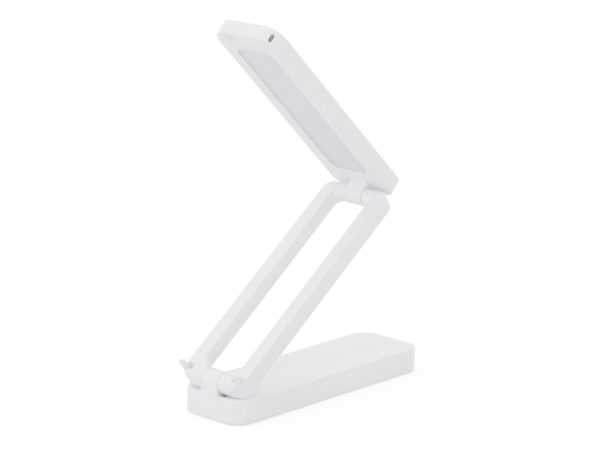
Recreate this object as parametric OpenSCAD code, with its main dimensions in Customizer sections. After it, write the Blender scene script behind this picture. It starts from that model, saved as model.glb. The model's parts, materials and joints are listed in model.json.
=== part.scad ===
// Folding LED desk lamp: a base bar, a ring-shaped arm and a light panel head,
// joined by two friction hinges so that the three bars fold flat on each other.
// Millimetres. +Z is up, +X runs from the hinge end of the base to its socket end.
// The origin is the middle of the anti-slip mat's underside.

/* [Base] */
// Length of the base
base_len = 160; // [150:1:180]
// How much wider than the arm the base is
base_wider = 0.8; // [0.6:0.1:4]
// Height of the base's top face above the table
base_ht = 15; // [14:0.5:18]
// Corner radius of the base in plan
base_corner_r = 11; // [8:0.5:14]
// Rounding of the base's top and bottom edges
base_edge_r = 1; // [0.5:0.1:1.6]
// Wall thickness of the base shell
base_wall = 1.8; // [1.4:0.1:2.2]
// Thickness of the base's bottom cover
base_cover_thk = 2; // [1.6:0.1:2.4]
// How far the anti-slip mat stands out of the bottom cover
mat_proud = 0.5; // [0.3:0.1:0.8]
// Thickness of the anti-slip mat
mat_thk = 1.1; // [0.9:0.1:1.3]
// Length of the anti-slip mat
mat_len = 126; // [100:1:128]
// Width of the anti-slip mat
mat_wid = 34; // [24:1:36]
// Diameter of the touch mark ring in the top face
touch_ring_d = 9; // [7:0.5:12]
// Distance of the touch mark from the socket end
touch_inset = 23; // [20:1:32]

/* [Hinges] */
// Radius of the hinge barrels on the base and on the arm's lower end
lower_barrel_r = 5.8; // [5.4:0.1:6.2]
// Height of the lower hinge axis above the base's top face
lower_axis_rise = 6.8; // [6.8:0.1:8]
// Width of the base's knuckle
base_knuckle_wid = 13; // [10:0.5:16]
// Width of the head's knuckle
head_knuckle_wid = 12.8; // [10:0.2:15]
// Radius of the head's knuckle
upper_barrel_r = 5.5; // [5.2:0.1:5.8]
// Side gap between a knuckle and the arm
knuckle_gap = 0.2; // [0.15:0.05:0.4]
// Thickness of the friction washers, which lie in pockets of the arm
washer_thk = 0.3; // [0.2:0.05:0.4]
// Radius of the friction washers
washer_r = 4; // [3:0.1:4.5]
// Radius of the hinge pins
pin_r = 1.5; // [1.2:0.1:2]
// Running clearance of a pin in its knuckle
pin_clear = 0.05; // [0.02:0.01:0.1]
// How deep each end of a pin sits in the arm
pin_seat = 6; // [4:0.5:6.5]
// Radius of the hole along the upper pin, which the lead goes through
pin_bore_r = 0.9; // [0.7:0.05:1]

/* [Arm] */
// Angle of the arm above the table
arm_rise = 36.9; // [20:0.1:60]
// Distance between the two hinge axes, along the arm
arm_axis_len = 147.6; // [140:0.2:160]
// Width of the arm
arm_wid = 46; // [44:0.2:52]
// Depth of the arm from its front face to its back face
arm_depth = 10.2; // [9.8:0.1:10.8]
// Width of one rail of the arm
rail_wid = 9; // [8.6:0.1:9.6]
// Corner radius of the arm in plan
arm_corner_r = 9.4; // [8:0.2:10]
// Rounding of the window's front edge
rail_front_round = 1.5; // [0.5:0.25:3]
// Rounding of the window's back edge
rail_back_round = 3; // [1:0.25:3.5]
// Radius of the bends where the upper bar runs into the rails
bar_bend_r = 7; // [4:0.5:8]
// Thickness of a latch horn
horn_thk = 1.7; // [1.4:0.1:1.8]
// Height of a latch horn above the rail's front face
horn_ht = 7.3; // [5:0.1:8]
// Gap between a latch horn and the corner of the folded head
horn_gap = 0.4; // [0.3:0.1:1]
// Depth of the notch behind a latch horn
horn_notch_depth = 4; // [2:0.25:4.5]
// Length of the notch behind a latch horn
horn_notch_len = 4.4; // [2.5:0.1:5]
// Distance of a lower hinge barrel's outer ends from the arm's sides
barrel_inset = 3.7; // [3:0.1:5]
// Width of the wire channel in each rail
channel_wid = 3; // [2.4:0.1:3.4]
// Thickness of the strips that close the rails from behind
rail_cover_thk = 1.4; // [1:0.1:1.8]

/* [Head] */
// Angle of the head above the table, counted from the +X direction
head_turn = 136.6; // [120:0.1:150]
// Length of the head
head_len = 154.3; // [146:0.1:154.4]
// How much narrower than the arm the head is
head_narrower = 0.8; // [0.4:0.1:3]
// Thickness of the head
head_thk = 9.2; // [8.8:0.1:10]
// Corner radius of the head in plan
head_corner_r = 9.8; // [8:0.2:10]
// Rounding of the head's back edge
head_edge_r = 0.8; // [0.4:0.1:1.2]
// Rounding of the head's edge round the light face
face_edge_r = 0.3; // [0.2:0.1:0.6]
// Distance from the upper hinge axis to the head's light face
head_drop = 6.8; // [6.7:0.1:7.4]
// How far the head reaches past the upper hinge axis
head_tail = 5.5; // [4.5:0.1:6]
// Thickness of the bezel round the light panel
bezel_thk = 2; // [1.6:0.1:2.4]
// Height of the bezel's visible rim above the joint with the back shell
bezel_rim = 0.8; // [0.6:0.1:1.2]
// Length of the light window
light_len = 119; // [100:1:120]
// Width of the light window
light_wid = 28; // [22:0.2:29]
// Distance from the upper hinge axis to the light window
light_start = 15; // [14:0.2:18]
// Corner radius of the light window
light_corner_r = 5.5; // [3:0.5:8]
// How far the diffuser's face lies below the bezel
light_recess = 0.8; // [0.2:0.1:1]
// Wall thickness of the head's back shell
head_wall = 1.6; // [1.2:0.1:2]
// Number of light-emitting chips on the strip board
chip_count = 18; // [12:1:22]
// Width of the slots in the head's tip corners
tip_slot_wid = 2.1; // [1.6:0.1:2.6]
// Height of the tip slots, across the head's thickness
tip_slot_ht = 5.6; // [4:0.1:6]
// Depth of the tip slots
tip_slot_depth = 5; // [3:0.5:6]

/* [Electrics] */
// Length of the battery cell
cell_len = 62; // [50:1:66]
// Width of the battery cell
cell_wid = 34; // [28:1:35]
// Thickness of the battery cell
cell_thk = 5; // [4:0.1:5.2]
// Length of the circuit board
board_len = 46; // [38:1:50]
// Width of the circuit board
board_wid = 34; // [30:1:36]
// Width of the charging socket's metal shell
socket_wid = 9; // [8:0.1:9.4]
// Height of the charging socket's metal shell
socket_ht = 3.3; // [3:0.1:3.4]
// Diameter of the insulated leads
lead_d = 1.2; // [0.8:0.1:1.3]

/* [Hidden] */

$fn = 48;
fit_gap = 0.15;       // gap round a part that drops into another
seat_gap = 0.05;      // gap between stacked inner parts
cut = 1;              // how far a cutting tool reaches past a face
big = 400;            // longer than anything in the lamp

white = [0.93, 0.93, 0.935];
white_shade = [0.9, 0.9, 0.91];
steel = [0.62, 0.63, 0.65];
lead_black = [0.1, 0.1, 0.11];

base_wid = arm_wid + base_wider;
head_wid = arm_wid - head_narrower;
hinge_end_x = -base_len / 2;
socket_end_x = base_len / 2;
lower_x = hinge_end_x + lower_barrel_r;
lower_z = base_ht + lower_axis_rise;

base_bottom_z = mat_proud;
cover_top_z = base_bottom_z + base_cover_thk;
cavity_top_z = base_ht - base_wall;
cover_ledge = 0.5;                          // width of the ledge that the bottom cover meets
boss_r = 3.4;
board_thk = 1.2;
board_z = 5.2;
board_gap = 0.4;                            // room between the board and its neighbours
board_x = socket_end_x - base_wall - cover_ledge - 0.7 - board_len;
boss_x = base_len / 2 - 9.5;
boss_y = base_wid / 2 - 8.2;
screw_r = 1.1;
screw_head_r = 2.1;
screw_head_thk = 1.2;
base_screw_len = 8;
touch_x = socket_end_x - touch_inset;
touch_ring_wid = 0.8;
touch_ring_depth = 0.25;

arm_back = -lower_barrel_r;                 // back face, measured from the lower axis
arm_front = arm_back + arm_depth;           // front face of the rails
upper_z = arm_front - arm_depth / 2;        // upper axis, at the middle of the arm's depth
bar_r = arm_depth / 2;
bend_set = 0.1;                             // how much thinner the bar's bends are
crest_gap = 0.3;                            // the window's edges run out this far before the bar's crest
arm_end = arm_axis_len + bar_r;
window_half = arm_wid / 2 - rail_wid;
lower_slot_half = base_knuckle_wid / 2 + knuckle_gap;
upper_slot_half = head_knuckle_wid / 2 + knuckle_gap;
gusset_top = 11.1;                          // where the lower gussets leave the rails
gusset_foot = 4.4;                          // where they meet the lower hinge slot
latch_turn = 43;                            // direction of the horns and of the head's tip slots
horn_slope = 2;                             // the horn's top edge is this much lower inside
horn_slope_len = 3;
horn_notch_wall = 1.2;                      // what the notch leaves on both sides
horn_notch_start = -0.2;
flat_start = -1.1;                          // flat front faces of the rails beside the barrels
flat_wid = 7.2;
flat_inner = arm_wid / 2 - flat_wid;
knuckle_clear = 0.5;                        // room round a knuckle's barrel
web_start = 6.7;
web_len = 2.5;
web_thk = 2.4;
rail_outer_wall = 1.5;
rail_front_skin = 2;
channel_mid = arm_wid / 2 - rail_outer_wall - channel_wid / 2;
channel_start = gusset_top + 3;
channel_end = arm_axis_len - bar_r - 4;
cover_lip = 0.7;                            // how much wider a rail cover is than its channel
catch_len = 2;
catch_ht = 1;
catch_depth = 0.7;
catch_z = arm_back + rail_back_round + 0.6;
passage_d = lead_d + 0.8;
passage_z = arm_back + rail_cover_thk + 0.3 + passage_d / 2;
entry_x = -1.4;                             // where the lead enters the lower barrel
lead_slot_wid = 2.8;                        // opening of the lead in the base's top
lead_slot_gap = 0.2;                        // its distance from the knuckle's slot
lead_y = -lower_slot_half - lead_slot_gap - lead_slot_wid / 2;
washer_stand = 0.05;                        // how far a washer stands out of its pocket
cover_screw_x = [channel_start + 9, channel_end - 9];
cover_boss_half = 1.7;                      // half length of a cover screw's boss
cover_screw_r = 0.8;
cover_screw_head_r = 1.5;
cover_screw_head_thk = 0.7;
cover_screw_len = 4.2;
lead_run_z = arm_front - rail_front_skin - lead_d / 2 - 0.3;

light_face = head_drop;
bezel_back = head_drop + bezel_thk;
head_back = head_drop + head_thk;
rim_z = head_drop + bezel_rim;
rebate = 0.8;                               // how far the bezel's tongue stands in from its rim
head_tip = head_len - head_tail;
tip_corner_x = head_tip - head_corner_r;    // middle of a tip corner's rounding
tip_corner_y = head_wid / 2 - head_corner_r;
knuckle_foot_r = 1.6;
light_mid = light_start + light_len / 2;
flange = 2.4;                               // how far the diffuser reaches behind the bezel
flange_thk = 1;
guide_thk = 2;
guide_z = bezel_back + flange_thk + seat_gap;
sheet_thk = 0.2;
sheet_z = guide_z + guide_thk + seat_gap;
head_cavity_start = head_wall - head_tail;
head_cavity_end = light_start + light_len + 4;
head_cavity_half = head_wid / 2 - head_wall;
strip_thk = 1;
strip_ht = 3;
chip_wid = 2.8;
chip_thk = 0.9;
chip_ht = 1.4;
guide_over = 1.4;                           // how far the light guide reaches past the window
guide_half = light_wid / 2 + guide_over;
strip_y = guide_half + fit_gap + chip_thk;
tip_slot_z = light_face + 0.95;             // near end of a tip slot
ramp_start = 4.6;                           // shallow ramp beside a tip slot: from the tip,
ramp_len = 2.1;                             // its length, depth and inner end
ramp_depth = 0.7;
ramp_inner = head_wid / 2 - 8;

// ---------- shared shapes ----------

// Rectangle with rounded corners, centred
module round_rect(len, wid, r) {
    square([len - 2 * r, wid], center = true);
    square([len, wid - 2 * r], center = true);
    for (sx = [-1, 1], sy = [-1, 1])
        translate([sx * (len / 2 - r), sy * (wid / 2 - r)]) circle(r);
}

// Section of a slab's rim: straight foot at x = 0, rounded corners at x = r
module rim_section(r, ht, low_round, top_round) {
    square([r - max(low_round, top_round), ht]);
    translate([0, low_round]) square([r, ht - low_round - top_round]);
    if (low_round > 0) translate([r - low_round, low_round]) circle(low_round, $fn = 24);
    if (top_round > 0) translate([r - top_round, ht - top_round]) circle(top_round, $fn = 24);
}

// Slab with rounded plan corners and rounded upper and lower edges, centred in plan
module soft_slab(len, wid, ht, r, low_round, top_round) {
    mid_len = len - 2 * r;
    mid_wid = wid - 2 * r;
    translate([-mid_len / 2, -mid_wid / 2, 0]) cube([mid_len, mid_wid, ht]);
    for (turn = [0, 1, 2, 3]) {
        side = turn % 2 == 0 ? mid_wid : mid_len;
        reach = turn % 2 == 0 ? mid_len / 2 : mid_wid / 2;
        rotate([0, 0, 90 * turn]) translate([reach, side / 2, 0]) {
            rotate([90, 0, 0]) linear_extrude(side) rim_section(r, ht, low_round, top_round);
            rotate_extrude(angle = 90) rim_section(r, ht, low_round, top_round);
        }
    }
}

// Bar along Y, centred, with its section drawn in the XZ plane
module along_y(len) {
    rotate([90, 0, 0]) linear_extrude(len, center = true) children();
}

module rod_y(r, len) {
    rotate([90, 0, 0]) cylinder(r = r, h = len, center = true);
}

// Round passage through a solid: straight bores with a ball at each turn
module passage(points, d) {
    for (i = [0 : len(points) - 2]) {
        run = points[i + 1] - points[i];
        reach = norm(run);
        translate(points[i])
            rotate([0, acos(run[2] / reach), atan2(run[1], run[0])])
            cylinder(d = d, h = reach, $fn = 16);
        if (i > 0) translate(points[i]) sphere(d = d, $fn = 16);
    }
}

function unit(v) = v / norm(v);

// Direction of a path at each of its points, halfway between the runs that meet there
function path_dirs(path) =
    let (runs = [for (i = [0 : len(path) - 2]) unit(path[i + 1] - path[i])],
         last = len(runs) - 1)
    [for (i = [0 : len(path) - 1]) unit(runs[max(i - 1, 0)] + runs[min(i, last)])];

// Side direction at each point, carried along the path without twisting
function side_dirs(dirs, side, i = 0) = i == len(dirs) ? [] :
    let (s = unit(side - (side * dirs[i]) * dirs[i])) concat([s], side_dirs(dirs, s, i + 1));

// Round wire or lead along a path, as one closed skin
module wire(path, r, sides = 8) {
    dirs = path_dirs(path);
    across = side_dirs(dirs, unit(cross(dirs[0], [0.3, 0.5, 0.8])));
    points = [for (k = [0 : len(path) - 1], i = [0 : sides - 1])
        let (a = 360 * i / sides)
        path[k] + r * (cos(a) * across[k] + sin(a) * cross(dirs[k], across[k]))];
    skin = [for (k = [0 : len(path) - 2], i = [0 : sides - 1])
        let (a = k * sides + i, b = k * sides + (i + 1) % sides)
        each [[a, a + sides, b + sides], [a, b + sides, b]]];
    first = [for (i = [0 : sides - 1]) i];
    last = [for (i = [sides - 1 : -1 : 0]) (len(path) - 1) * sides + i];
    polyhedron(points, concat([first], skin, [last]), convexity = 8);
}

// Frame of the arm: X along the arm from the lower axis, Z out of its front face
module in_arm() {
    translate([lower_x, 0, lower_z]) rotate([0, -arm_rise, 0]) children();
}

// Frame of the head: X from the upper axis to the tip, Z from the light face to the back
module in_head() {
    in_arm() translate([arm_axis_len, 0, upper_z])
        rotate([0, arm_rise - head_turn, 0]) rotate([180, 0, 0]) children();
}

// ---------- base ----------

module boss_places() {
    for (sx = [-1, 1], sy = [-1, 1]) translate([sx * boss_x, sy * boss_y, 0]) children();
}

// Plan of the room in the base, drawn in on all sides
module base_cavity_plan(inset) {
    edge = base_wall + cover_ledge + inset;
    round_rect(base_len - 2 * edge, base_wid - 2 * edge, base_corner_r - edge);
}

module base_knuckle() {
    along_y(base_knuckle_wid) {
        translate([lower_x, lower_z]) circle(lower_barrel_r);
        translate([lower_x - lower_barrel_r, cavity_top_z])
            square([2 * lower_barrel_r, lower_z - cavity_top_z]);
    }
}

module socket_opening(gap) {
    translate([socket_end_x, 0, socket_z + socket_ht / 2])
        rotate([0, 90, 0]) linear_extrude(2 * base_wall + cut, center = true)
        round_rect(socket_ht + 2 * gap, socket_wid + 2 * gap, socket_ht / 2 - 0.1);
}

module base_top_shell() {
    color(white) difference() {
        union() {
            difference() {
                translate([0, 0, base_bottom_z])
                    soft_slab(base_len, base_wid, base_ht - base_bottom_z, base_corner_r,
                              base_edge_r, base_edge_r);
                translate([0, 0, cover_top_z + fit_gap])
                    linear_extrude(cavity_top_z - cover_top_z - fit_gap) base_cavity_plan(0);
                translate([0, 0, base_bottom_z - cut])
                    linear_extrude(base_cover_thk + cut + fit_gap)
                    round_rect(base_len - 2 * base_wall, base_wid - 2 * base_wall,
                               base_corner_r - base_wall);
            }
            base_knuckle();
            boss_places() translate([0, 0, cover_top_z + fit_gap])
                cylinder(r = boss_r, h = cavity_top_z - cover_top_z);
        }
        boss_places() translate([0, 0, base_bottom_z])
            cylinder(r = screw_r, h = cavity_top_z - base_bottom_z - 1);
        translate([lower_x, 0, lower_z]) rod_y(pin_r + pin_clear, base_knuckle_wid + cut);
        // opening beside the knuckle, where the lead goes up to the arm
        translate([lower_x + entry_x - lead_slot_wid / 2, lead_y - lead_slot_wid / 2,
                   cavity_top_z - cut])
            cube([lead_slot_wid, lead_slot_wid, base_wall + 2 * cut]);
        translate([touch_x, 0, base_ht - touch_ring_depth]) difference() {
            cylinder(d = touch_ring_d, h = cut);
            translate([0, 0, -cut]) cylinder(d = touch_ring_d - 2 * touch_ring_wid, h = 3 * cut);
        }
        socket_opening(fit_gap);
        translate([socket_end_x, light_pipe_y, light_pipe_z]) rotate([0, 90, 0])
            cylinder(r = light_pipe_r + fit_gap, h = 3 * base_wall, center = true);
    }
}

module base_bottom_cover() {
    color(white_shade) difference() {
        translate([0, 0, base_bottom_z]) linear_extrude(base_cover_thk)
            round_rect(base_len - 2 * base_wall - 2 * fit_gap,
                       base_wid - 2 * base_wall - 2 * fit_gap,
                       base_corner_r - base_wall - fit_gap);
        translate([0, 0, base_bottom_z - cut])
            linear_extrude(mat_thk - mat_proud + cut)
            round_rect(mat_len + 2 * fit_gap, mat_wid + 2 * fit_gap, mat_corner_r + fit_gap);
        boss_places() {
            translate([0, 0, base_bottom_z - cut])
                cylinder(r = screw_r + fit_gap, h = base_cover_thk + 2 * cut);
            translate([0, 0, base_bottom_z - cut])
                cylinder(r = screw_head_r + fit_gap, h = screw_head_thk + cut);
        }
    }
}

mat_corner_r = 8;

module anti_slip_mat() {
    color([0.86, 0.87, 0.88]) linear_extrude(mat_thk)
        round_rect(mat_len, mat_wid, mat_corner_r);
}

// Pan-head screw standing head down, its head's face at z = 0
module pan_screw(r, head_r, head_thk, len) {
    difference() {
        union() {
            cylinder(r = head_r, h = head_thk);
            cylinder(r = r, h = len);
        }
        for (turn = [0, 90]) rotate([0, 0, turn])
            translate([-head_r * 0.6, -head_r * 0.12, -cut])
            cube([head_r * 1.2, head_r * 0.24, cut + head_thk * 0.55]);
    }
}

module base_screws() {
    color(steel) boss_places() translate([0, 0, base_bottom_z + seat_gap])
        pan_screw(screw_r - seat_gap, screw_head_r, screw_head_thk - seat_gap, base_screw_len);
}

ballast_thk = 2.6;
ballast_z = cover_top_z + seat_gap;
ballast_wid = 30;
ballast_inset = 18;                         // distance of the ballast from the hinge end
ballast_start = hinge_end_x + ballast_inset;
ballast_board_gap = 19;                     // room for the leads between ballast and board
ballast_len = board_x - ballast_board_gap - ballast_start;

module ballast_plate() {
    color(steel) translate([ballast_start, -ballast_wid / 2, ballast_z])
        cube([ballast_len, ballast_wid, ballast_thk]);
}

tape_thk = 0.4;
tape_z = ballast_z + ballast_thk + seat_gap;
cell_z = tape_z + tape_thk + seat_gap;
cell_x = ballast_start + 3;
seal_len = 3;                               // folded seal with the cell's protection board

module battery_tape() {
    color([0.95, 0.93, 0.8]) translate([cell_x + 4, -ballast_wid / 2 + 2, tape_z])
        cube([cell_len - 8, ballast_wid - 4, tape_thk]);
}

module battery_cell() {
    color([0.75, 0.77, 0.8]) translate([cell_x, 0, cell_z]) {
        along_x_pouch(cell_len, cell_wid, cell_thk);
        // folded seal and protection board at the lead end
        translate([cell_len, -cell_wid / 2 + 3, cell_thk * 0.3])
            cube([seal_len, cell_wid - 6, cell_thk * 0.4]);
    }
}

// Flat cell with rounded long edges
module along_x_pouch(len, wid, thk) {
    r = thk / 2 - 0.2;
    rotate([90, 0, 90]) linear_extrude(len) translate([0, thk / 2]) round_rect(wid, thk, r);
}

socket_z = board_z + board_thk + seat_gap;
socket_len = 7.4;
socket_sunk = 0.4;                          // how far the socket lies behind the base's end

module circuit_board() {
    color([0.12, 0.4, 0.22]) difference() {
        intersection() {
            translate([board_x, -board_wid / 2, board_z]) cube([board_len, board_wid, board_thk]);
            translate([0, 0, board_z - cut]) linear_extrude(board_thk + 2 * cut)
                base_cavity_plan(board_gap);
        }
        for (sy = [-1, 1]) translate([boss_x, sy * boss_y, board_z - cut])
            cylinder(r = boss_r + board_gap, h = board_thk + 2 * cut);
    }
}

// Chips and a coil on the board: place on it, then length, width and height
components = [[[24, -9], [6, 5, 1.6]], [[14, 5], [4, 4, 1.2]], [[6, -13], [5.4, 5.4, 3]]];
capacitor_start = [25, 8];
capacitor_pitch = 2.4;
capacitor = [1.2, 2, 0.8];

module board_components() {
    chip_z = board_z + board_thk + seat_gap;
    color([0.13, 0.13, 0.14]) translate([board_x, 0, chip_z]) {
        for (part = components) translate(part[0]) cube(part[1]);
        for (i = [0 : 4])
            translate([capacitor_start[0] + capacitor_pitch * i, capacitor_start[1], 0])
                cube(capacitor);
    }
}

module charging_socket() {
    wall = 0.4;
    tongue_thk = 0.7;
    tongue_gap = 1.8;                       // room beside and before the contact tongue
    back_x = socket_end_x - socket_sunk - socket_len;
    color(steel) translate([back_x, 0, socket_z + socket_ht / 2]) rotate([0, 90, 0]) {
        difference() {
            linear_extrude(socket_len) round_rect(socket_ht, socket_wid, socket_ht / 2 - 0.1);
            translate([0, 0, cut]) linear_extrude(socket_len)
                round_rect(socket_ht - 2 * wall, socket_wid - 2 * wall,
                           socket_ht / 2 - 0.1 - wall);
        }
        translate([-tongue_thk / 2, -socket_wid / 2 + tongue_gap, 0])
            cube([tongue_thk, socket_wid - 2 * tongue_gap, socket_len - tongue_gap]);
    }
}

light_pipe_r = 1;
light_pipe_y = -socket_wid / 2 - 4.4;
light_pipe_z = socket_z + socket_ht / 2;

light_pipe_sunk = 0.3;
light_pipe_len = base_wall + 2;

module charge_light_pipe() {
    color([0.95, 0.96, 0.9, 0.7])
        translate([socket_end_x - light_pipe_sunk, light_pipe_y, light_pipe_z])
        rotate([0, -90, 0]) cylinder(r = light_pipe_r, h = light_pipe_len);
}

module touch_spring() {
    coil_r = 3;
    wire_r = 0.35;
    turns = 5;
    steps = 12;
    bottom_z = board_z + board_thk + seat_gap + wire_r;
    top_z = cavity_top_z - seat_gap - wire_r;
    path = [for (k = [0 : turns * steps])
        let (a = 360 * k / steps)
        [coil_r * cos(a), coil_r * sin(a), bottom_z + (top_z - bottom_z) * k / (turns * steps)]];
    color([0.8, 0.6, 0.3]) translate([touch_x - 1, 0, 0]) wire(path, wire_r, 6);
}

lead_gap = lead_d / 2 + 0.3;

module base_lead() {
    side_y = -ballast_wid / 2 - 2.4;
    run_z = cavity_top_z - lead_gap - 0.4;
    color(lead_black) wire([
        [board_x + 2, side_y, board_z + board_thk + lead_d / 2 + seat_gap],
        [board_x - 6, side_y, run_z],
        [ballast_start, side_y, run_z],
        [ballast_start - 4, lead_y, run_z],
        [lower_x + entry_x, lead_y, run_z - 0.3],
        [lower_x + entry_x, lead_y, base_ht - 0.4]], lead_d / 2);
}

// ---------- arm ----------

// Side of a rail: a bar with round ends
module rail_side() {
    near = bar_r - lower_barrel_r;
    translate([near, arm_back]) square([arm_axis_len - near, arm_depth]);
    for (x = [near, arm_axis_len]) translate([x, upper_z]) circle(bar_r);
}

module arm_plan() {
    len = arm_end + lower_barrel_r;
    translate([len / 2 - lower_barrel_r, 0]) round_rect(len, arm_wid, arm_corner_r);
}

// Section of the window's side, with its wall at x = 0 and the open side at x < 0:
// the front and back edges are rounded
module window_side_section() {
    translate([-big, -big / 2]) square([big, big]);
    edge_flare(arm_front, rail_front_round);
    mirror([0, 1]) edge_flare(-arm_back, rail_back_round);
}

// What a rounded edge loses, for a face at the given height
module edge_flare(face, r) {
    difference() {
        translate([-cut, face - r]) square([r + cut, r + cut]);
        translate([r, face - r]) circle(r);
    }
}

// Side of the window towards +Y, with its wall in the plane y = 0
module window_side() {
    translate([-big / 2, 0, 0]) rotate([90, 0, 90]) linear_extrude(big) window_side_section();
}

// Quarter bend that carries the upper bar into the rail towards +Y
module bar_bend() {
    translate([arm_axis_len - bar_r - bar_bend_r, window_half - bar_bend_r, upper_z])
        rotate_extrude(angle = 90) translate([bar_bend_r + bar_r, 0]) circle(bar_r - bend_set);
}

// What the open window takes away, between the rails, the gussets and the upper bar
module window_tool() {
    gusset_turn = atan2(window_half - lower_slot_half, gusset_top - gusset_foot);
    start = gusset_foot - cut;
    difference() {
        intersection() {
            translate([start, -big / 2, -big / 2])
                cube([arm_axis_len - crest_gap - start, big, big]);
            translate([0, window_half, 0]) window_side();
            mirror([0, 1, 0]) translate([0, window_half, 0]) window_side();
            translate([gusset_foot, lower_slot_half, 0]) rotate([0, 0, gusset_turn])
                window_side();
            mirror([0, 1, 0]) translate([gusset_foot, lower_slot_half, 0])
                rotate([0, 0, gusset_turn]) window_side();
        }
        rod_y(lower_barrel_r, 2 * arm_wid);
        translate([arm_axis_len, 0, upper_z]) rod_y(bar_r, 2 * arm_wid);
        bar_bend();
        mirror([0, 1, 0]) bar_bend();
    }
}

// Puts things where the corner of the folded head is, with X pointing out of that corner
module at_folded_corner(side) {
    translate([arm_axis_len - tip_corner_x, side * tip_corner_y, 0])
        rotate([0, 0, 180 - side * latch_turn]) children();
}

// Upright fin in line with the slot in the folded head's corner, cut off by the arm's plan
module horn(side) {
    top = arm_front + horn_ht;
    at_folded_corner(side) translate([head_corner_r + horn_gap, 0, 0]) along_y(horn_thk)
        polygon([[0, 0], [arm_corner_r, 0], [arm_corner_r, top],
                 [horn_slope_len, top], [0, top - horn_slope]]);
}

// Wedge cut into the rail behind a horn, deepest at the horn's root
module horn_notch(side) {
    near = flat_inner + horn_notch_wall;
    far = arm_wid / 2 - horn_notch_wall;
    difference() {
        translate([horn_notch_start, side * (near + far) / 2, arm_front]) along_y(far - near)
            polygon([[0, cut], [0, -horn_notch_depth], [horn_notch_len / 3, -horn_notch_depth],
                     [horn_notch_len, 0], [horn_notch_len, cut]]);
        // the horn's other side stays solid
        at_folded_corner(side) translate([head_corner_r, side > 0 ? 0 : -arm_wid, -big / 2])
            cube([arm_wid, arm_wid, big]);
    }
}

// Small notch in the middle of each rail's inner face, for a cover's catch
module catch_notches() {
    for (sy = [-1, 1]) translate([arm_axis_len / 2, sy * window_half, catch_z])
        cube([catch_len, 2 * catch_depth, catch_ht], center = true);
}

module rail_channels(wid, depth) {
    for (sy = [-1, 1])
        translate([channel_start, sy * channel_mid - wid / 2, arm_back - cut])
            cube([channel_end - channel_start, wid, depth + cut]);
}

// Bridges across the wire channels, which the cover screws bite into
module cover_bosses() {
    for (sy = [-1, 1], x = cover_screw_x)
        translate([x - cover_boss_half, sy * channel_mid - channel_wid / 2 - seat_gap,
                   arm_back + rail_cover_thk + fit_gap])
            cube([2 * cover_boss_half, channel_wid + 2 * seat_gap, cover_screw_len]);
}

// Pocket of each friction washer, beside the knuckle's slot
module washer_pockets(slot_half) {
    rod_y(washer_r + seat_gap, 2 * (slot_half + washer_thk - washer_stand));
}

module arm_frame() {
    color(white) in_arm() difference() {
        intersection() {
            union() {
                difference() {
                    union() {
                        along_y(arm_wid + cut) rail_side();
                        rod_y(lower_barrel_r, arm_wid - 2 * barrel_inset);
                    }
                    window_tool();
                    // flat front of each rail, beside its barrel
                    for (y = [flat_inner, -arm_wid]) translate([flat_start, y, arm_front])
                        cube([3 * lower_barrel_r, arm_wid - flat_inner, big]);
                    horn_notch(1);
                    horn_notch(-1);
                    difference() {
                        rail_channels(channel_wid, arm_depth - rail_front_skin);
                        cover_bosses();
                    }
                }
                horn(1);
                horn(-1);
                // web that ties the two rails behind the lower knuckle
                translate([web_start, -window_half, arm_back])
                    cube([web_len, 2 * window_half, web_thk]);
            }
            translate([0, 0, -big / 2]) linear_extrude(big) arm_plan();
        }
        translate([-2 * lower_barrel_r, -lower_slot_half, -big / 2])
            cube([3 * lower_barrel_r + knuckle_clear, 2 * lower_slot_half, big]);
        translate([arm_axis_len - bar_r - knuckle_clear, -upper_slot_half, -big / 2])
            cube([3 * bar_r, 2 * upper_slot_half, big]);
        washer_pockets(lower_slot_half);
        translate([arm_axis_len, 0, upper_z]) washer_pockets(upper_slot_half);
        rail_channels(channel_wid + 2 * cover_lip, rail_cover_thk + fit_gap);
        for (sy = [-1, 1], x = cover_screw_x) translate([x, sy * channel_mid, arm_back])
            cylinder(r = cover_screw_r, h = cover_screw_len + seat_gap);
        rod_y(pin_r, 2 * (lower_slot_half + pin_seat));
        translate([arm_axis_len, 0, upper_z]) rod_y(pin_r, 2 * (upper_slot_half + pin_seat));
        catch_notches();
        // passages of the lead, from the lower barrel to the rail and on to the upper pin
        passage([[entry_x, lead_y, -lower_barrel_r - cut], [entry_x, lead_y, passage_z],
              [entry_x, -channel_mid, passage_z],
              [channel_start + cut, -channel_mid, passage_z]], passage_d);
        passage([[channel_end - cut, -channel_mid, upper_z],
              [arm_axis_len, -channel_mid, upper_z],
              [arm_axis_len, -upper_slot_half - pin_seat + cut, upper_z]], passage_d);
    }
}

module rail_covers() {
    wid = channel_wid + 2 * cover_lip - 2 * fit_gap;
    color(white_shade) in_arm() for (sy = [-1, 1]) difference() {
        translate([channel_start + fit_gap, sy * channel_mid - wid / 2, arm_back])
            cube([channel_end - channel_start - 2 * fit_gap, wid, rail_cover_thk]);
        for (x = cover_screw_x) translate([x, sy * channel_mid, arm_back - cut]) {
            cylinder(r = cover_screw_r + fit_gap, h = 2 * cut + rail_cover_thk);
            cylinder(r = cover_screw_head_r + fit_gap, h = cut + cover_screw_head_thk);
        }
    }
}

module rail_cover_screws() {
    color(steel) in_arm() for (sy = [-1, 1], x = cover_screw_x)
        translate([x, sy * channel_mid, arm_back + seat_gap])
        pan_screw(cover_screw_r, cover_screw_head_r, cover_screw_head_thk - seat_gap,
                  cover_screw_len);
}

module lower_hinge_pin() {
    color(steel) in_arm() rod_y(pin_r, 2 * (lower_slot_half + pin_seat));
}

// Hollow, and open in the middle towards the head, so that the lead can turn out of it
module upper_hinge_pin() {
    color(steel) in_arm() translate([arm_axis_len, 0, upper_z]) difference() {
        rod_y(pin_r, 2 * (upper_slot_half + pin_seat));
        rod_y(pin_bore_r, 2 * (upper_slot_half + pin_seat + cut));
        translate([-2 * pin_r, -passage_d / 2, pin_bore_r / 3]) cube([4 * pin_r, passage_d, pin_r]);
    }
}

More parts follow.
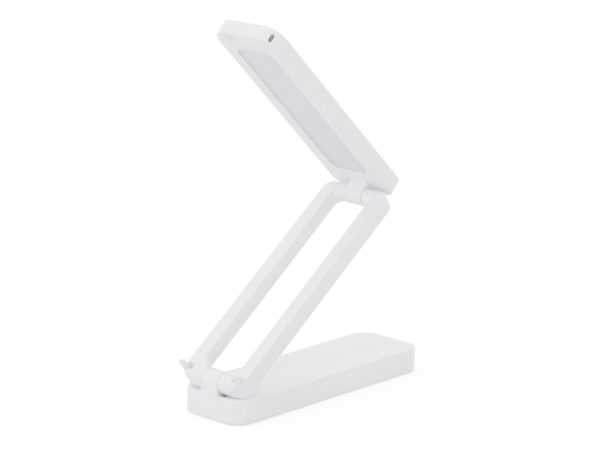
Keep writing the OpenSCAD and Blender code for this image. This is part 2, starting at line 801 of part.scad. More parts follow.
// Pair of washers that lie on the arm, on both sides of a knuckle
module washer_pair(slot_half) {
    mid = slot_half + washer_thk / 2 - washer_stand;
    for (sy = [-1, 1]) translate([0, sy * mid, 0]) difference() {
        rod_y(washer_r, washer_thk);
        rod_y(pin_r, washer_thk + cut);
    }
}

module lower_friction_washers() {
    color([0.7, 0.6, 0.4]) in_arm() washer_pair(lower_slot_half);
}

module upper_friction_washers() {
    color([0.7, 0.6, 0.4]) in_arm() translate([arm_axis_len, 0, upper_z])
        washer_pair(upper_slot_half);
}

module arm_lead() {
    color(lead_black) in_arm() wire([
        [entry_x, lead_y, arm_back + 0.4],
        [entry_x, lead_y, passage_z],
        [entry_x, -channel_mid, passage_z],
        [channel_start + 1, -channel_mid, passage_z],
        [channel_start + 5, -channel_mid, lead_run_z],
        [channel_end - 5, -channel_mid, lead_run_z],
        [channel_end - 1, -channel_mid, upper_z],
        [arm_axis_len, -channel_mid, upper_z],
        [arm_axis_len, -passage_d, upper_z]], lead_d / 2);
}

// ---------- head ----------

module head_slab(low, high, low_round, top_round) {
    translate([head_tip - head_len / 2, 0, low])
        soft_slab(head_len, head_wid, high - low, head_corner_r, low_round, top_round);
}

module light_plan(grow) {
    translate([light_mid, 0])
        round_rect(light_len + 2 * grow, light_wid + 2 * grow, light_corner_r + grow);
}

// Rounded slot in each of the head's tip corners, cut in towards the middle
module tip_slots() {
    for (side = [-1, 1])
        translate([tip_corner_x, side * tip_corner_y, tip_slot_z + tip_slot_ht / 2])
            rotate([0, 0, side * latch_turn])
            translate([head_corner_r - tip_slot_depth, 0, 0]) rotate([0, 90, 0])
            linear_extrude(tip_slot_depth + cut)
            round_rect(tip_slot_ht, tip_slot_wid, tip_slot_wid / 2 - seat_gap);
}

// Shallow ramp in the light face beside each tip slot
module tip_ramps() {
    wid = head_wid / 2 - ramp_inner + cut;
    for (side = [-1, 1])
        translate([head_tip - ramp_start, side * (ramp_inner + wid / 2), light_face])
            along_y(wid)
            polygon([[0, 0], [ramp_len, ramp_depth], [ramp_len, -cut], [0, -cut]]);
}

// Plan of the head, drawn in on all sides
module head_plan(inset) {
    translate([head_tip - head_len / 2, 0])
        round_rect(head_len - 2 * inset, head_wid - 2 * inset, head_corner_r - inset);
}

module head_bezel() {
    color(white) in_head() difference() {
        union() {
            head_slab(light_face, rim_z, face_edge_r, 0);
            translate([0, 0, (light_face + rim_z) / 2])
                linear_extrude(bezel_back - (light_face + rim_z) / 2)
                head_plan(rebate + fit_gap);
            along_y(head_knuckle_wid) {
                circle(upper_barrel_r);
                translate([-upper_barrel_r, 0]) square([2 * upper_barrel_r, rim_z]);
                // rounded foot of the knuckle on the light face
                difference() {
                    translate([upper_barrel_r - cut, light_face - knuckle_foot_r])
                        square([knuckle_foot_r + cut, knuckle_foot_r + cut]);
                    translate([upper_barrel_r + knuckle_foot_r, light_face - knuckle_foot_r])
                        circle(knuckle_foot_r);
                }
            }
        }
        cylinder(d = passage_d, h = head_back);
        translate([0, 0, light_face - cut]) linear_extrude(bezel_thk + 2 * cut) light_plan(0);
        rod_y(pin_r + pin_clear, head_knuckle_wid + cut);
        tip_slots();
        tip_ramps();
    }
}

module head_back_shell() {
    color(white) in_head() difference() {
        head_slab(rim_z, head_back, 0, head_edge_r);
        // step that takes the bezel's tongue
        translate([0, 0, rim_z - cut]) linear_extrude(bezel_back - rim_z + cut)
            head_plan(rebate);
        translate([(head_cavity_start + head_cavity_end) / 2, 0, bezel_back - cut])
            linear_extrude(head_thk - bezel_thk - head_wall + cut)
            round_rect(head_cavity_end - head_cavity_start, 2 * head_cavity_half,
                       head_corner_r - head_wall);
        tip_slots();
    }
}

module diffuser() {
    color([0.86, 0.86, 0.92]) in_head() {
        translate([0, 0, light_face + light_recess])
            linear_extrude(bezel_thk - light_recess + flange_thk) light_plan(-fit_gap);
        translate([0, 0, bezel_back + seat_gap]) linear_extrude(flange_thk - seat_gap)
            light_plan(flange);
    }
}

module light_guide() {
    color([0.9, 0.93, 0.95, 0.6]) in_head()
        translate([light_start - guide_over, -guide_half, guide_z])
        cube([light_len + 2 * guide_over, 2 * guide_half, guide_thk]);
}

module reflector_sheet() {
    color([0.97, 0.97, 0.97]) in_head()
        translate([light_start - guide_over, -guide_half, sheet_z])
        cube([light_len + 2 * guide_over, 2 * guide_half, sheet_thk]);
}

module led_strip_board() {
    color([0.95, 0.95, 0.95]) in_head()
        translate([light_start, strip_y + seat_gap, guide_z])
        cube([light_len, strip_thk, strip_ht]);
}

module led_chips() {
    pitch = light_len / chip_count;
    color([0.98, 0.9, 0.45]) in_head() for (i = [0 : chip_count - 1])
        translate([light_start + (i + 0.5) * pitch - chip_wid / 2, strip_y - chip_thk,
                   guide_z + (guide_thk - chip_ht) / 2])
            cube([chip_wid, chip_thk, chip_ht]);
}

foam_wid = 5;
foam_y = 8;                                 // distance of a foam strip from the middle
foam_inset = 4;                             // distance of its ends from the light window's
foam_z = sheet_z + sheet_thk + seat_gap;
foam_thk = head_back - head_wall - seat_gap - foam_z;

module foam_strips() {
    color([0.25, 0.25, 0.27]) in_head() for (y = [-foam_y, foam_y])
        translate([light_start + foam_inset, y - foam_wid / 2, foam_z])
        cube([light_len - 2 * foam_inset, foam_wid, foam_thk]);
}

module head_lead() {
    run_z = foam_z + 1;
    strip_mid_y = strip_y + seat_gap + strip_thk / 2;
    color(lead_black) in_head() wire([
        [0, 0, pin_r + 0.3],
        [0, 0, run_z],
        [light_start - 7, strip_mid_y - 6, run_z],
        [light_start - 3, strip_mid_y, guide_z + strip_ht / 2],
        [light_start, strip_mid_y, guide_z + strip_ht / 2]], lead_d / 2);
}

base_top_shell();
base_bottom_cover();
anti_slip_mat();
base_screws();
ballast_plate();
battery_cell();
battery_tape();
circuit_board();
board_components();
charging_socket();
charge_light_pipe();
touch_spring();
base_lead();
arm_frame();
rail_covers();
rail_cover_screws();
lower_hinge_pin();
lower_friction_washers();
upper_hinge_pin();
upper_friction_washers();
arm_lead();
head_bezel();
head_back_shell();
diffuser();
light_guide();
reflector_sheet();
led_strip_board();
led_chips();
foam_strips();
head_lead();
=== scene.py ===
# %% [markdown]
# # A folding LED desk lamp in white plastic
# The lamp is three bars of the same length: a flat base, an open ring-shaped arm and a
# light panel head. Two hinges join them, so that the lamp folds into one flat block.
# The engineering model comes in first and stays where it is. Everything below gives its
# surfaces the finish and the small roundings that a moulded lamp has.

import json
import math

import bpy
from mathutils import Matrix, Vector


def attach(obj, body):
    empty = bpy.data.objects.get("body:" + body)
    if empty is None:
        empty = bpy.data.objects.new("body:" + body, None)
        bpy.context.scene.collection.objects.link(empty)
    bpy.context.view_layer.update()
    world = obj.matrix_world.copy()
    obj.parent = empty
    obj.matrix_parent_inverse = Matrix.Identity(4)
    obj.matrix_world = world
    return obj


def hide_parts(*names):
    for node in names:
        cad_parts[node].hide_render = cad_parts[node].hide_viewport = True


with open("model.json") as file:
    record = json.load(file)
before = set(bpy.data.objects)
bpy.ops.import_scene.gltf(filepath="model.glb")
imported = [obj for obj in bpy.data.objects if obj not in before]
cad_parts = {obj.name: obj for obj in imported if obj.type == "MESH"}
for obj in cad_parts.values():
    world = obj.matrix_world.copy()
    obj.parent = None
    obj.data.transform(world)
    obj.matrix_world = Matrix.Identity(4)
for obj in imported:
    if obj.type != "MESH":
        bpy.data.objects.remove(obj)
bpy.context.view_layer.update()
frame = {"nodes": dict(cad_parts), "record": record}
MM = 0.001
print("nodes:", len(frame["nodes"]))


# %% [markdown]
# ## Colours and shader nodes
# Colours are written the way a paint chart gives them, as sRGB hex, and turned to the
# linear numbers that light is added up in. One helper adds any shader node, so that a
# material reads as a list of what feeds what.

# %% Colour and node helpers
def linear(hex_colour):
    """Linear RGBA of an sRGB colour such as "f2f2f3"."""
    channels = [int(hex_colour[i:i + 2], 16) / 255 for i in (0, 2, 4)]
    return [c / 12.92 if c <= 0.04045 else ((c + 0.055) / 1.055) ** 2.4 for c in channels] + [1.0]


def put(tree, kind, settings=None, values=None, links=None):
    """Adds a node: its own settings, its input values and the sockets that feed it."""
    node = tree.nodes.new(kind)
    for name, value in (settings or {}).items():
        setattr(node, name, value)
    for name, value in (values or {}).items():
        node.inputs[name].default_value = value
    for name, socket in (links or {}).items():
        tree.links.new(socket, node.inputs[name])
    return node


def new_material(name):
    """An empty node material, and its tree."""
    material = bpy.data.materials.new(name)
    material.use_nodes = True
    material.node_tree.nodes.clear()
    return material, material.node_tree


def noise(tree, place, size_mm, detail=3.0):
    """Grey noise whose blotches are about size_mm across."""
    return put(tree, "ShaderNodeTexNoise", values={"Scale": 1 / (size_mm * MM), "Detail": detail},
               links={"Vector": place}).outputs[0]


def between(tree, factor, low, high):
    """Maps 0..1 to the range low..high."""
    return put(tree, "ShaderNodeMapRange", values={"To Min": low, "To Max": high},
               links={"Value": factor}).outputs[0]


def tints(tree, factor, dark_hex, light_hex):
    """Colour between two tints of one material. Noise seldom leaves the middle of its range."""
    ramp = put(tree, "ShaderNodeValToRGB", links={"Fac": factor})
    dark, light = ramp.color_ramp.elements
    dark.position, light.position = 0.3, 0.7
    dark.color, light.color = linear(dark_hex), linear(light_hex)
    return ramp.outputs["Color"]


def finish(tree, colour, roughness, relief, relief_mm, strength=1.0, **more):
    """Principled surface with a bump of the given depth, joined to the output."""
    bump = put(tree, "ShaderNodeBump", values={"Strength": strength, "Distance": relief_mm * MM},
               links={"Height": relief})
    values = {"Roughness": roughness} if isinstance(roughness, float) else {}
    links = {"Base Color": colour, "Normal": bump.outputs[0]}
    if not isinstance(roughness, float):
        links["Roughness"] = roughness
    shader = put(tree, "ShaderNodeBsdfPrincipled", values={**values, **more}, links=links)
    put(tree, "ShaderNodeOutputMaterial", links={"Surface": shader.outputs[0]})
    return shader


def coordinates(tree):
    """Place on the piece itself, so that a pattern moves with it."""
    return put(tree, "ShaderNodeTexCoord").outputs["Object"]


# %% [markdown]
# ## White ABS
# The shells are injection moulded. Their mould is spark eroded, which leaves a very fine
# even matt grain of a tenth of a millimetre, and the plastic flows with faint cloudy
# differences of tint that show only in a raking light.

# %% White shell plastic
ABS_IOR, ACRYLIC_IOR, SILICONE_IOR = 1.54, 1.49, 1.41
CLOUD_MM, GRAIN_RELIEF_MM = 18.0, 0.006


def moulded_abs(name, dark_hex, light_hex, grain_mm, rough_low, rough_high):
    """Injection moulded plastic: faint clouds of tint and the fine grain of the mould."""
    material, tree = new_material(name)
    place = coordinates(tree)
    grain = noise(tree, place, grain_mm)
    cloud = noise(tree, place, CLOUD_MM, 1.0)
    finish(tree, tints(tree, cloud, dark_hex, light_hex),
           between(tree, grain, rough_low, rough_high), grain, GRAIN_RELIEF_MM, 0.5, IOR=ABS_IOR)
    return material


white_abs = moulded_abs("white_abs_fine_texture", "f7f7f9", "f9f9fb", 0.14, 0.38, 0.48)
cover_abs = moulded_abs("white_abs_coarse_texture", "ebebed", "efeff0", 0.3, 0.5, 0.62)
soft_touch = moulded_abs("soft_touch_lacquer", "f1f1f3", "f3f3f5", 0.2, 0.6, 0.7)
print("white plastics:", white_abs.name, cover_abs.name, soft_touch.name)


# %% [markdown]
# ## Opal diffuser
# The light panel is covered with opal acrylic: clear plastic with a fine white filler that
# scatters the light. Switched off, it looks a little darker and bluer than the shells, and
# light sinks into it slightly, so its edges look soft. It is extruded sheet, wiped matt.

# %% Opal acrylic
OPAL_DEPTH_MM = (0.9, 0.9, 1.1)


def opal_acrylic():
    """Filled acrylic that lets light sink in by about a millimetre."""
    material, tree = new_material("opal_acrylic")
    place = coordinates(tree)
    frost = noise(tree, place, 0.08)
    depth = noise(tree, place, 30.0, 1.0)
    finish(tree, tints(tree, depth, "eeecf3", "f0eef5"), between(tree, frost, 0.42, 0.5),
           frost, 0.003, 0.4, **{"IOR": ACRYLIC_IOR, "Subsurface Weight": 0.2,
                                 "Subsurface Radius": [depth_mm * MM for depth_mm in OPAL_DEPTH_MM],
                                 "Subsurface Scale": 1.0})
    return material


opal = opal_acrylic()


# %% [markdown]
# ## Rubber, films and foam
# The mat is pressed silicone with a grid of tiny pips that grips the table. The foam strips
# behind the light guide are cut from closed-cell sheet, so their cells show as small pits.

# %% Soft materials
def pressed_silicone():
    """Soft pale grey rubber with a square grid of pips."""
    material, tree = new_material("pale_grey_silicone")
    place = coordinates(tree)
    pips = put(tree, "ShaderNodeTexVoronoi", settings={"feature": "F1"},
               values={"Scale": 1 / (1.2 * MM), "Randomness": 0.0}, links={"Vector": place})
    cloud = noise(tree, place, 9.0)
    finish(tree, tints(tree, cloud, "cfd1d3", "d5d7d9"), 0.72, pips.outputs["Distance"], 0.12, 0.6,
           IOR=SILICONE_IOR)
    return material


def closed_cell_foam():
    """Dark foam sheet, cut, so its cells lie open as small pits, each painted darker towards its
    bottom as painted shade.
    """
    material, tree = new_material("closed_cell_foam")
    place = coordinates(tree)
    cells = put(tree, "ShaderNodeTexVoronoi", values={"Scale": 1 / (0.4 * MM)},
                links={"Vector": place})
    # Painted shade: the tint follows the pits' depth, darkest at the bottom of each pit.
    finish(tree, tints(tree, cells.outputs["Distance"], "2c2c30", "48484c"), 0.9,
           cells.outputs["Distance"], 0.08)
    return material


def white_film(name, dark_hex, light_hex, roughness):
    """Thin plastic film or paper tape: dead flat, with a faint calendered grain."""
    material, tree = new_material(name)
    place = coordinates(tree)
    fibre = noise(tree, place, 0.5, 4.0)
    finish(tree, tints(tree, fibre, dark_hex, light_hex), roughness, fibre, 0.004)
    return material


def insulated_wire():
    """Extruded silicone insulation: smooth, with faint streaks along its length."""
    material, tree = new_material("black_silicone_insulation")
    place = coordinates(tree)
    streak = noise(tree, place, 0.6)
    finish(tree, tints(tree, streak, "1d1d1f", "2a2a2d"), 0.42, streak, 0.01)
    return material


silicone, foam, wire_black = pressed_silicone(), closed_cell_foam(), insulated_wire()
film = white_film("white_polyester_film", "f2f2f2", "f7f7f7", 0.35)
tape = white_film("double_sided_tape", "e9e4cf", "efebd8", 0.6)


# %% [markdown]
# ## Metals
# Screws and pins are turned steel with a thin nickel plating, so their surface keeps fine
# tool marks. The washers are rolled phosphor bronze. The cell is packed in laminated
# aluminium foil, pressed into soft creases.

# %% Plated and rolled metals
def metal(name, dark_hex, light_hex, marks_mm, roughness, relief_mm):
    """Worked metal, whose marks are drawn out along Y."""
    material, tree = new_material(name)
    place = coordinates(tree)
    stretched = put(tree, "ShaderNodeMapping", values={"Scale": (1, 0.12, 1)},
                    links={"Vector": place}).outputs[0]
    marks = noise(tree, stretched, marks_mm)
    finish(tree, tints(tree, marks, dark_hex, light_hex),
           between(tree, marks, roughness - 0.06, roughness + 0.08), marks, relief_mm,
           Metallic=1.0)
    return material


nickel = metal("nickel_plated_steel", "b9babd", "c6c7ca", 0.2, 0.3, 0.003)
zinc = metal("zinc_plated_steel", "9fa3a8", "b2b6ba", 0.8, 0.42, 0.006)
bronze = metal("phosphor_bronze", "a98552", "bd9a63", 0.25, 0.34, 0.003)
gold = metal("gold_plated_spring_wire", "c9a04c", "dab465", 0.15, 0.25, 0.002)
foil = metal("laminated_aluminium_foil", "b7bbc0", "c9ccd0", 2.5, 0.38, 0.05)


# %% [markdown]
# ## Boards, chips and clear plastic
# The circuit board is glass-fibre laminate under green lacquer, whose weave prints through
# as a fine relief. The strip for the light chips is lacquered white. The chips are lenses of
# yellow phosphor. The light guide and the light pipe are moulded clear acrylic.

# %% Electronics
def lacquered_board(name, dark_hex, light_hex):
    """Circuit board lacquer over a woven laminate."""
    material, tree = new_material(name)
    place = coordinates(tree)
    weave = put(tree, "ShaderNodeTexChecker", values={"Scale": 1 / (0.5 * MM)},
                links={"Vector": place})
    cloud = noise(tree, place, 3.0)
    finish(tree, tints(tree, cloud, dark_hex, light_hex), 0.33, weave.outputs["Fac"], 0.004)
    return material


def moulded_chip(name, dark_hex, light_hex, roughness):
    """Cast resin with a fine grit in it."""
    material, tree = new_material(name)
    place = coordinates(tree)
    grit = noise(tree, place, 0.12)
    finish(tree, tints(tree, grit, dark_hex, light_hex), roughness, grit, 0.008)
    return material


def clear_acrylic():
    """Clear moulded acrylic with faint flow marks."""
    material, tree = new_material("clear_acrylic")
    place = coordinates(tree)
    flow = noise(tree, place, 6.0)
    finish(tree, tints(tree, flow, "f4f7f7", "fbfdfd"), 0.08, flow, 0.002, IOR=ACRYLIC_IOR,
           **{"Transmission Weight": 0.9})
    return material


green_board = lacquered_board("green_solder_mask", "1d5c35", "24683d")
white_board = lacquered_board("white_solder_mask", "eeeeec", "f5f5f3")
black_chip = moulded_chip("black_epoxy", "1b1b1d", "26262a", 0.55)
phosphor = moulded_chip("yellow_phosphor", "ecd35c", "f4e07a", 0.45)
acrylic = clear_acrylic()

# %% [markdown]
# Each part of the engineering model gets the material that it is made of. The shells are
# replaced further down, so theirs only shows if a shell is taken off.

# %% Materials of the engineering parts
SLOT_MATERIAL = {
    "white_shell": white_abs, "inner_white": cover_abs, "diffuser": opal, "rubber_grey": silicone,
    "clear_plastic": acrylic, "reflector": film, "steel": nickel, "washer": bronze, "foam": foam,
    "battery_foil": foil, "tape": tape, "board_green": green_board, "board_white": white_board,
    "chip_black": black_chip, "chip_yellow": phosphor, "copper_wire": gold,
    "lead_black": wire_black}
node_slot = {part["node"]: part["material_slot"] for part in frame["record"]["subparts"]}
for name, node in frame["nodes"].items():
    node.data.materials.clear()
    node.data.materials.append(zinc if name == "ballast_plate" else SLOT_MATERIAL[node_slot[name]])
print("materials in use:", len({node.data.materials[0].name for node in frame["nodes"].values()}))


# %% [markdown]
# ## Moulded edges
# No moulded edge is perfectly sharp: the cutter that makes the mould leaves a quarter of a
# millimetre. A finished shell starts as a copy of the engineering part. Its triangles are
# merged into the flat faces they came from, and every sharp edge gets a small rounding.

# %% Operators on one piece
def only(piece):
    """Makes one object the selected and active one."""
    bpy.ops.object.select_all(action="DESELECT")
    piece.select_set(True)
    bpy.context.view_layer.objects.active = piece


def modify(piece, kind, **settings):
    """Adds a modifier and applies it."""
    only(piece)
    modifier = piece.modifiers.new(kind.lower(), kind)
    for name, value in settings.items():
        setattr(modifier, name, value)
    bpy.ops.object.modifier_apply(modifier=modifier.name)


SHARP = math.radians(32)


def smooth_by_angle(piece):
    """Shades all edges smooth that are blunter than SHARP."""
    only(piece)
    bpy.ops.object.shade_smooth_by_angle(angle=SHARP)


def dress(piece, body, material):
    """Gives a piece its material, which is that of a node, and its body."""
    piece.data.materials.clear()
    piece.data.materials.append(material)
    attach(piece, body)


# %% Shell finishing
WELD_MM = 0.002
FLAT = math.radians(0.4)


def merged_copy(node, name):
    """Copy of an engineering part, its triangles joined into flat faces again."""
    piece = bpy.data.objects.new(name, frame["nodes"][node].data.copy())
    bpy.context.scene.collection.objects.link(piece)
    only(piece)
    bpy.ops.object.mode_set(mode="EDIT")
    bpy.ops.mesh.select_all(action="SELECT")
    bpy.ops.mesh.remove_doubles(threshold=WELD_MM * MM)
    bpy.ops.mesh.dissolve_limited(angle_limit=FLAT)
    bpy.ops.object.mode_set(mode="OBJECT")
    return piece


def finished_shell(node, name, body, rounding_mm, material):
    """Finished piece that stands for one engineering part and rides on its body."""
    piece = merged_copy(node, name)
    flat_faces = len(piece.data.polygons)
    modify(piece, "BEVEL", width=rounding_mm * MM, segments=3, limit_method="ANGLE",
           angle_limit=SHARP, use_clamp_overlap=True, harden_normals=False)
    smooth_by_angle(piece)
    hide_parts(node)
    dress(piece, body, material)
    print(name, "faces before rounding:", flat_faces, "after:", len(piece.data.polygons))
    return piece


# %% [markdown]
# ## Base
# The base is a deep white tray with its flat face up. The hinge knuckle grows out of one end,
# flush with it. From below, a cover closes the tray, and a mat lies in the cover's recess.

# %% Base shells
finished_shell("base_top_shell", "base_housing", "base", 0.25, white_abs)
finished_shell("base_bottom_cover", "base_cover", "base", 0.2, cover_abs)
finished_shell("anti_slip_mat", "grip_mat", "base", 0.3, silicone)

# %% [markdown]
# ## Touch mark
# The lamp is switched by touch, on a faint ring in the base's top. The ring is a soft-touch
# inlay that fills the groove almost flush. A ring can be cut from a disc: the disc's face is
# inset, its middle is taken away, and the rest is extruded to its thickness.

# %% Touch ring inlay
TOUCH_MIDDLE, TOUCH_TOP = 57.0, 14.96
RING_OUTER, RING_WIDTH, RING_THICKNESS, RING_ROUNDING = 4.46, 0.72, 0.19, 0.05

bpy.ops.object.select_all(action="DESELECT")
bpy.ops.mesh.primitive_circle_add(
    vertices=96, radius=RING_OUTER * MM, fill_type="NGON",
    location=(TOUCH_MIDDLE * MM, 0, (TOUCH_TOP - RING_THICKNESS) * MM))
touch_ring = bpy.context.object
touch_ring.name = "touch_ring"
bpy.ops.object.mode_set(mode="EDIT")
bpy.ops.mesh.select_mode(type="FACE")
bpy.ops.mesh.select_all(action="SELECT")
bpy.ops.mesh.inset(thickness=RING_WIDTH * MM)
bpy.ops.mesh.delete(type="FACE")
bpy.ops.mesh.select_all(action="SELECT")
bpy.ops.mesh.extrude_region_move(TRANSFORM_OT_translate={"value": (0, 0, RING_THICKNESS * MM)})
bpy.ops.mesh.select_all(action="SELECT")
bpy.ops.mesh.normals_make_consistent(inside=False)
bpy.ops.object.mode_set(mode="OBJECT")
bpy.ops.object.transform_apply(location=True, rotation=True, scale=True)

# %% Finish of the touch ring
modify(touch_ring, "BEVEL", width=RING_ROUNDING * MM, segments=2, limit_method="ANGLE",
       angle_limit=SHARP)
smooth_by_angle(touch_ring)
dress(touch_ring, "base", soft_touch)
print("touch ring faces:", len(touch_ring.data.polygons))

# %% [markdown]
# ## Arm
# The arm is one moulding: two rails, an upper bar that bends into them, and the gussets that
# carry the lower hinge. Strips close the wire channels at the back.

# %% Arm
finished_shell("arm_frame", "arm_ring", "arm", 0.3, white_abs)
finished_shell("rail_covers", "rail_strips", "arm", 0.2, cover_abs)

# %% [markdown]
# ## Head
# The head is two thin mouldings: a bezel with the knuckle, and a back shell. Their joint runs
# round the head just behind the light face, where the two roundings leave a fine groove.

# %% Head
finished_shell("head_bezel", "light_bezel", "head", 0.2, white_abs)
finished_shell("head_back_shell", "head_housing", "head", 0.2, white_abs)
opal_panel = finished_shell("diffuser", "opal_panel", "head", 0.05, opal)


# %% [markdown]
# ## Catch pads
# The head has a slot for the latch in both tip corners. At the bottom of each slot lies a pale
# silicone pad, so the lamp shuts quietly. Each pad is a short drum that is drawn out to the
# slot's long shape by moving its two halves apart, then rounded.

# %% Place of the tip slots
UPPER_AXIS = Vector((44.25, 0, 109.86))
SIDEWAYS = Vector((0, 1, 0))
HEAD_ANGLE, SLOT_TURN = math.radians(136.6), math.radians(43)
TIP_CORNER_ALONG, TIP_CORNER_ASIDE, SLOT_MIDDLE = 139.0, 12.8, 10.55
head_along = Vector((math.cos(HEAD_ANGLE), 0, math.sin(HEAD_ANGLE)))
head_up = Vector((math.sin(HEAD_ANGLE), 0, -math.cos(HEAD_ANGLE)))


def tip_slot(side):
    """Middle of the corner that a slot points away from, and the slot's direction."""
    corner = (UPPER_AXIS + TIP_CORNER_ALONG * head_along + side * TIP_CORNER_ASIDE * SIDEWAYS
              + SLOT_MIDDLE * head_up)
    return corner, math.cos(SLOT_TURN) * head_along + side * math.sin(SLOT_TURN) * SIDEWAYS


print("head points along", [round(v, 3) for v in head_along])

# %% Shape of a pad
PAD_RADIUS, PAD_SPREAD, PAD_THICKNESS, PAD_REACH, PAD_ROUNDING = 0.98, 1.75, 0.8, 5.22, 0.15
ON_THE_SEAM = 0.0001


def select_half(piece, half):
    """Selects what lies wholly on one side of the piece's middle."""
    mesh = piece.data
    for vertex in mesh.vertices:
        vertex.select = vertex.co.y * half > ON_THE_SEAM * MM
    for element in [*mesh.edges, *mesh.polygons]:
        element.select = all(mesh.vertices[v].select for v in element.vertices)


def long_pad(name):
    """Drum whose halves are moved apart along Y."""
    bpy.ops.object.select_all(action="DESELECT")
    bpy.ops.mesh.primitive_cylinder_add(vertices=32, radius=PAD_RADIUS * MM,
                                        depth=PAD_THICKNESS * MM, location=(0, 0, 0))
    piece = bpy.context.object
    piece.name = name
    for half in (-1, 1):
        select_half(piece, half)
        bpy.ops.object.mode_set(mode="EDIT")
        bpy.ops.mesh.select_mode(type="VERT")
        bpy.ops.transform.translate(value=(0, half * PAD_SPREAD * MM, 0))
        bpy.ops.object.mode_set(mode="OBJECT")
    return piece


# %% Pads in the tip slots
for side, label in ((-1, "right"), (1, "left")):
    pad = long_pad("catch_pad_" + label)
    corner, outwards = tip_slot(side)
    place = corner + PAD_REACH * outwards
    pad.matrix_world = Matrix.Translation(place * MM) @ Matrix(
        (head_up.cross(outwards), head_up, outwards)).transposed().to_4x4()
    only(pad)
    bpy.ops.object.transform_apply(location=True, rotation=True, scale=True)
    modify(pad, "BEVEL", width=PAD_ROUNDING * MM, segments=2, limit_method="ANGLE",
           angle_limit=SHARP)
    smooth_by_angle(pad)
    dress(pad, "head", silicone)
    print(pad.name, "stands at", [round(v, 1) for v in place])

# %% [markdown]
# ## Press fit of the panel
# The opal panel is pressed into the bezel's window, so hardly a gap shows round it. The
# engineering part keeps its clearance. Here the front part of the panel's rim is pushed out
# until it all but meets the bezel, and the step behind the bezel stays.

# %% Panel rim
RIM_DEPTH, RIM_GROWTH = 1.0, 0.13
EDGEWAYS = 0.3  # a side face's normal leans less than this towards the panel's back


def push_out_rim(piece, behind_mm, by_mm):
    """Moves the side faces of a stepped panel outwards, except those of its back step."""
    only(piece)
    bpy.ops.object.mode_set(mode="EDIT")
    bpy.ops.mesh.select_mode(type="FACE")
    bpy.ops.mesh.select_all(action="DESELECT")
    bpy.ops.object.mode_set(mode="OBJECT")
    back = max(piece.data.polygons, key=lambda face: face.area)
    for face in piece.data.polygons:
        in_front = (back.center - face.center).dot(back.normal) > behind_mm * MM
        face.select = in_front and abs(face.normal.dot(back.normal)) < EDGEWAYS
    print("rim faces:", sum(face.select for face in piece.data.polygons))
    bpy.ops.object.mode_set(mode="EDIT")
    bpy.ops.transform.shrink_fatten(value=by_mm * MM, use_even_offset=True)
    bpy.ops.object.mode_set(mode="OBJECT")


push_out_rim(opal_panel, RIM_DEPTH, RIM_GROWTH)

# %% [markdown]
# ## Camera
# The camera stands to the front left of the lamp and looks down on it a little, with a long
# lens. It is rolled by a degree, so that the lamp's long edges lean a little.

# %% Camera
LENS_MM, SENSOR_MM = 156.7, 36.0
YAW, PITCH, ROLL = math.radians(47.963), math.radians(14.189), math.radians(1.25)
CAMERA_PLACE = Vector((-1088.4, -975.5, 468.9)) * MM

forward = Vector((math.sin(YAW) * math.cos(PITCH), math.cos(YAW) * math.cos(PITCH),
                  -math.sin(PITCH)))
level_right = forward.cross(Vector((0, 0, 1))).normalized()
level_up = level_right.cross(forward)
right = math.cos(ROLL) * level_right + math.sin(ROLL) * level_up
up = math.cos(ROLL) * level_up - math.sin(ROLL) * level_right
camera = bpy.data.objects.new("camera", bpy.data.cameras.new("camera"))
bpy.context.scene.collection.objects.link(camera)
camera.data.lens = LENS_MM
camera.data.sensor_width = SENSOR_MM
camera.matrix_world = Matrix.Translation(CAMERA_PLACE) @ Matrix(
    (right, up, -forward)).transposed().to_4x4()
bpy.context.scene.camera = camera
print("camera looks along", [round(v, 3) for v in forward])

# %% [markdown]
# ## Studio
# The lamp stands on a wide white sheet in a bright white room, which lights it evenly from
# all sides. Two large soft boxes at the left, one beside the lamp and one before it, add a
# little more on its left and front faces, so the forms read. The sheet is seen at full
# white, while the light that it throws on the lamp is that of real white card. Reflections
# count as seen, so polished metal shows the same white surroundings.

# %% Floor
FLOOR_SIZE = 6
CARD_REFLECTS, CARD_LOOKS, CARD_GLOWS = 0.88, 0.5, 0.575
bpy.ops.mesh.primitive_plane_add(size=FLOOR_SIZE, location=(0, 0, 0))
floor = bpy.context.object
floor.name = "floor"
print("floor in m:", FLOOR_SIZE)


# %% White card
def grey(level):
    """Neutral linear colour."""
    return [level, level, level, 1]


def seen_share(tree):
    """1 for a ray from the camera or one that is mirrored or let through, otherwise 0."""
    path = put(tree, "ShaderNodeLightPath")
    mirrored = put(tree, "ShaderNodeMath", {"operation": "MAXIMUM"}, links={
        0: path.outputs["Is Camera Ray"], 1: path.outputs["Is Glossy Ray"]})
    return put(tree, "ShaderNodeMath", {"operation": "MAXIMUM"}, links={
        0: mirrored.outputs[0], 1: path.outputs["Is Transmission Ray"]}).outputs[0]


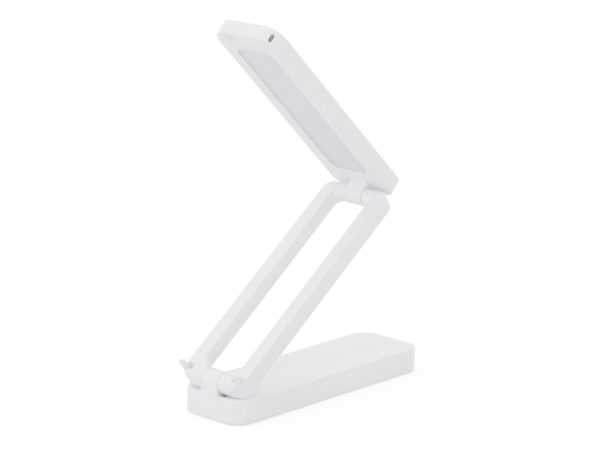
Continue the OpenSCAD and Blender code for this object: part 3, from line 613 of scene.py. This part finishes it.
material, tree = new_material("white_card")
matte = put(tree, "ShaderNodeBsdfDiffuse", values={"Color": grey(CARD_LOOKS)})
glow = put(tree, "ShaderNodeEmission", values={"Strength": CARD_GLOWS})
seen_card = put(tree, "ShaderNodeAddShader", links={0: matte.outputs[0], 1: glow.outputs[0]})
lit_card = put(tree, "ShaderNodeBsdfDiffuse", values={"Color": grey(CARD_REFLECTS)})
card = put(tree, "ShaderNodeMixShader", links={0: seen_share(tree), 1: lit_card.outputs[0],
                                               2: seen_card.outputs[0]})
put(tree, "ShaderNodeOutputMaterial", links={"Surface": card.outputs[0]})
floor.data.materials.append(material)

# %% Room
ROOM_LIGHT, BACKDROP_LIGHT = 0.85, 1.0
world = bpy.data.worlds.new("studio")
bpy.context.scene.world = world
world.use_nodes = True
tree = world.node_tree
tree.nodes.clear()
room = put(tree, "ShaderNodeBackground", values={"Color": grey(1), "Strength": ROOM_LIGHT})
backdrop = put(tree, "ShaderNodeBackground", values={"Color": grey(1), "Strength": BACKDROP_LIGHT})
seen = put(tree, "ShaderNodeMixShader", links={0: seen_share(tree), 1: room.outputs[0],
                                               2: backdrop.outputs[0]})
put(tree, "ShaderNodeOutputWorld", links={"Surface": seen.outputs[0]})


# %% Soft boxes
LAMP_MIDDLE = (0, 0, 0.1)
BOX_SIZE = 1.0


def softbox(name, place, watts):
    """Square area light that faces the lamp's middle."""
    light = bpy.data.lights.new(name, "AREA")
    light.shape, light.size, light.energy = "SQUARE", BOX_SIZE, watts
    holder = bpy.data.objects.new(name, light)
    bpy.context.scene.collection.objects.link(holder)
    holder.location = place
    aim = Vector(LAMP_MIDDLE) - Vector(place)
    holder.rotation_euler = aim.to_track_quat("-Z", "Y").to_euler()
    print(name, "stands", round(aim.length, 2), "m away")


softbox("left_softbox", (-0.75, 1.3, 0.35), 1.14)
softbox("front_softbox", (-1.5, 0.2, 0.5), 0.71)

# %% [markdown]
# ## Bounces
# White walls throw most of the light on, so it keeps bouncing in a narrow gap. Four bounces,
# the usual limit, would leave the gaps at the hinges too dark for white plastic.

# %% Picture settings
DIFFUSE_BOUNCES, ALL_BOUNCES = 12, 16
bpy.context.scene.view_settings.view_transform = "Standard"
bpy.context.scene.cycles.max_bounces = ALL_BOUNCES
bpy.context.scene.cycles.diffuse_bounces = DIFFUSE_BOUNCES
print("bounces of light:", ALL_BOUNCES)
